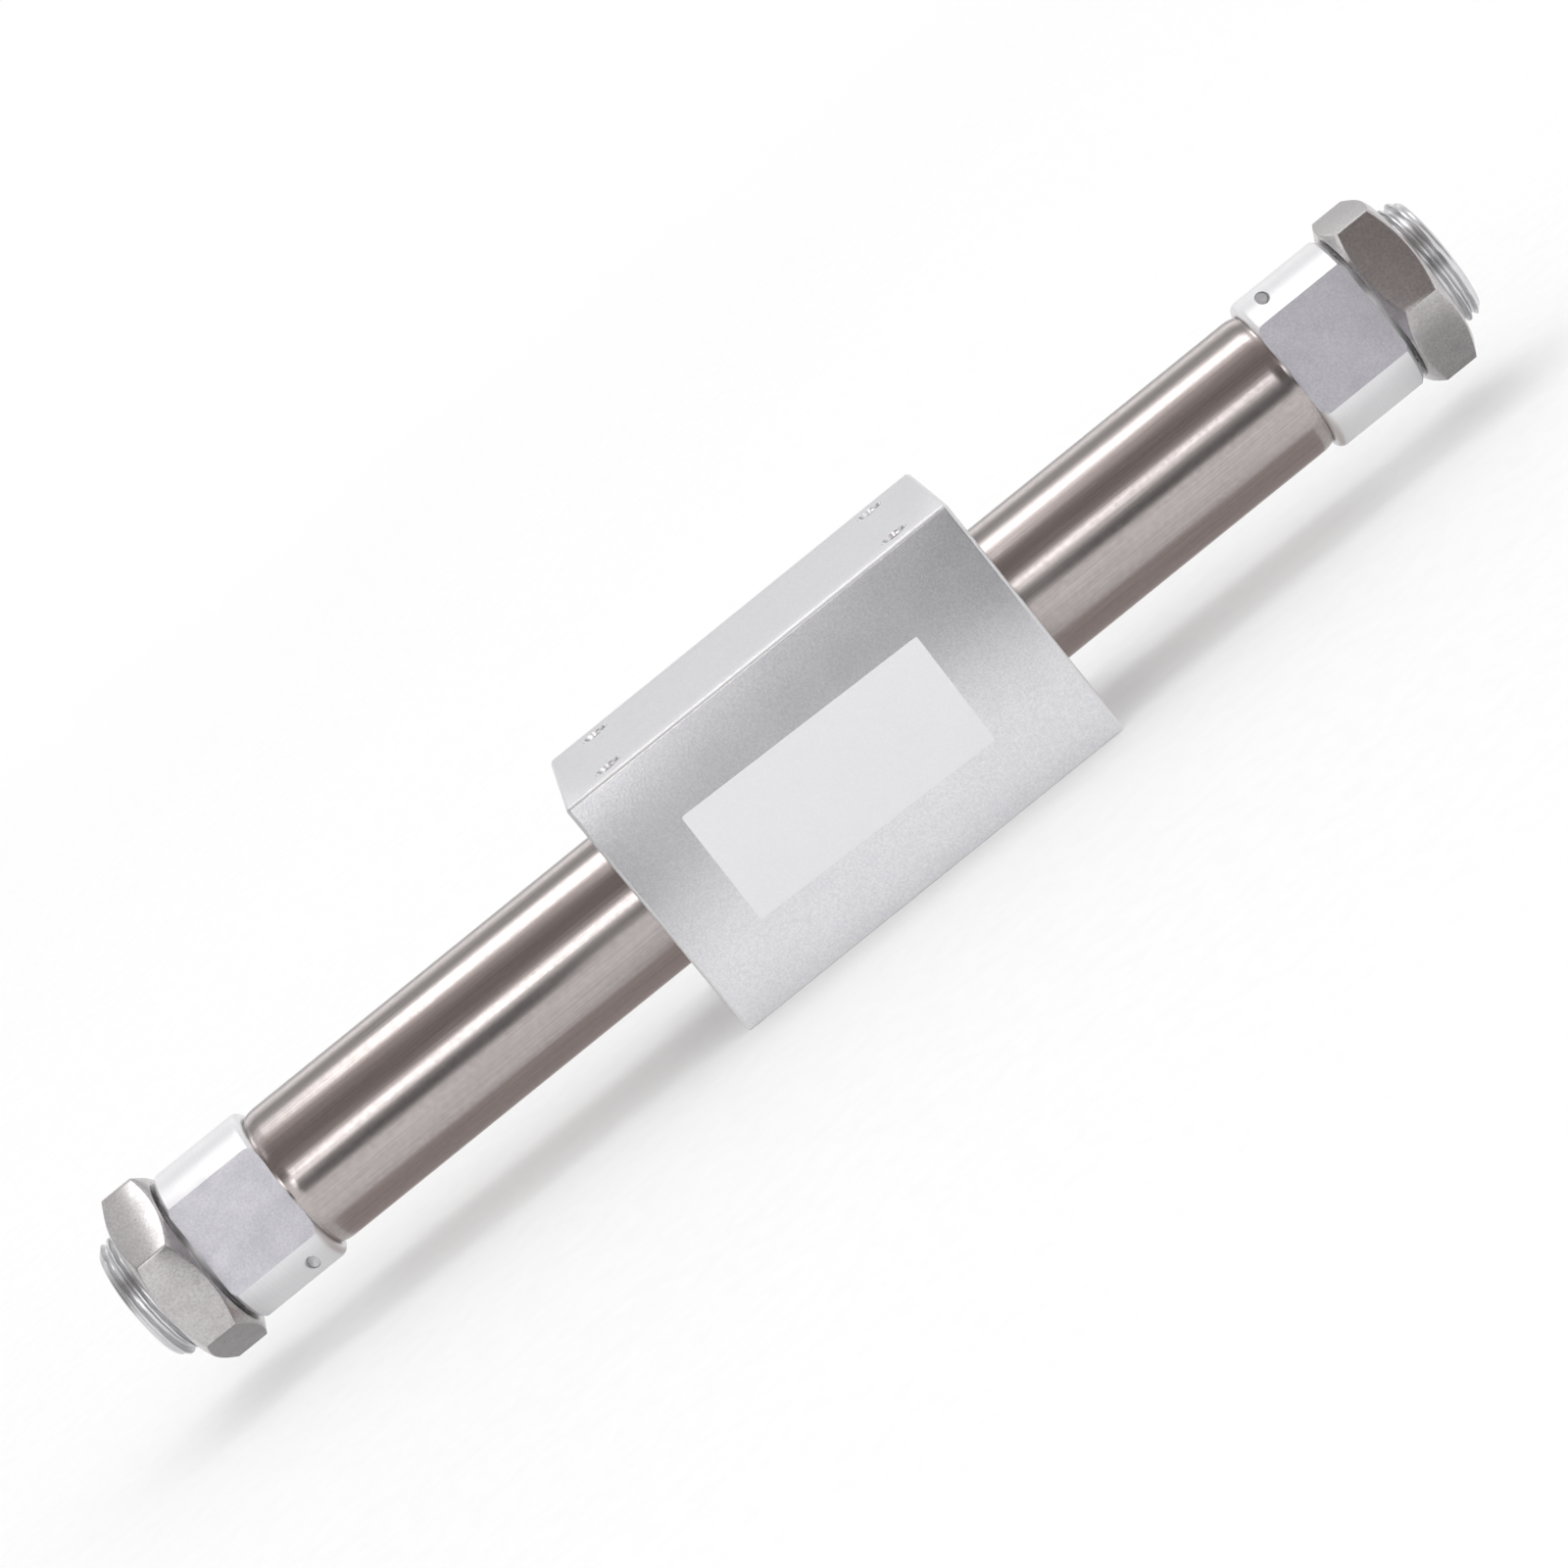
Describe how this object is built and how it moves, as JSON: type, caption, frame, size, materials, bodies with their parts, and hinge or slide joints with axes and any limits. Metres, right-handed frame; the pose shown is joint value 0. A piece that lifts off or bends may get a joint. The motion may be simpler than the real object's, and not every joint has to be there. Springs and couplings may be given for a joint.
{
  "type": "rodless pneumatic cylinder",
  "caption": "Magnetically coupled rodless air cylinder: a tapped slider block rides along a steel tube between threaded head covers with hex mounting nuts.",
  "frame": {"origin": "on the cylinder's axis, midway between the ends of the threaded stubs", "axes": "+X along the cylinder's axis, -Y the front (label) face of the slider, +Z its tapped face"},
  "size_m": [0.233, 0.04, 0.04],
  "materials": {
    "tube_stainless_steel": "ground and polished along the tube",
    "head_anodised_aluminium": "clear anodised, satin",
    "block_anodised_aluminium": "clear anodised, bead blasted",
    "collar_aluminium": "turned",
    "piston_aluminium": "turned",
    "nut_steel": "nickel plated, satin",
    "screw_steel": "zinc plated",
    "plug_steel": "turned, plain",
    "shaft_steel": "ground",
    "yoke_steel": "zinc plated",
    "spring_steel": "phosphated, dark",
    "plated_magnet": "nickel plated",
    "seal_rubber": "moulded, matt",
    "bumper_rubber": "moulded polyurethane",
    "guide_resin": "cut from strip",
    "oil_felt": "pressed felt, oiled"
  },
  "bodies": {
    "barrel": {"cylinder_tube": "tube_stainless_steel", "head_cover_left": "head_anodised_aluminium", "head_plug_left": "plug_steel", "tube_gasket_left": "seal_rubber", "bumper_left": "bumper_rubber", "mounting_nut_left": "nut_steel", "head_cover_right": "head_anodised_aluminium", "head_plug_right": "plug_steel", "tube_gasket_right": "seal_rubber", "bumper_right": "bumper_rubber", "mounting_nut_right": "nut_steel"},
    "piston": {"piston_shaft": "shaft_steel", "piston_left": "piston_aluminium", "piston_seal_left": "seal_rubber", "piston_wear_ring_left": "guide_resin", "piston_nut_left": "screw_steel", "piston_right": "piston_aluminium", "piston_seal_right": "seal_rubber", "piston_wear_ring_right": "guide_resin", "piston_nut_right": "screw_steel", "piston_yoke_1": "yoke_steel", "piston_yoke_2": "yoke_steel", "piston_yoke_3": "yoke_steel", "piston_yoke_4": "yoke_steel", "piston_yoke_5": "yoke_steel", "piston_magnet_1": "plated_magnet", "piston_magnet_2": "plated_magnet", "piston_magnet_3": "plated_magnet", "piston_magnet_4": "plated_magnet"},
    "slider": {"slider_block": "block_anodised_aluminium", "slider_collar_left": "collar_aluminium", "slider_felt_left": "oil_felt", "slider_wear_ring_left": "guide_resin", "slider_scraper_left": "seal_rubber", "slider_snap_ring_left": "spring_steel", "slider_collar_right": "collar_aluminium", "slider_felt_right": "oil_felt", "slider_wear_ring_right": "guide_resin", "slider_scraper_right": "seal_rubber", "slider_snap_ring_right": "spring_steel", "slider_yoke_1": "yoke_steel", "slider_yoke_2": "yoke_steel", "slider_yoke_3": "yoke_steel", "slider_yoke_4": "yoke_steel", "slider_yoke_5": "yoke_steel", "slider_magnet_1": "plated_magnet", "slider_magnet_2": "plated_magnet", "slider_magnet_3": "plated_magnet", "slider_magnet_4": "plated_magnet"}
  },
  "joints": [
    {"name": "stroke", "type": "slide", "parent": "barrel", "child": "piston", "axis": [1, 0, 0], "range_m": [-0.0578, 0.0422]},
    {"name": "slider_turn", "type": "hinge", "parent": "piston", "child": "slider", "pos_m": [0, 0, 0], "axis": [1, 0, 0], "continuous": true}
  ]
}
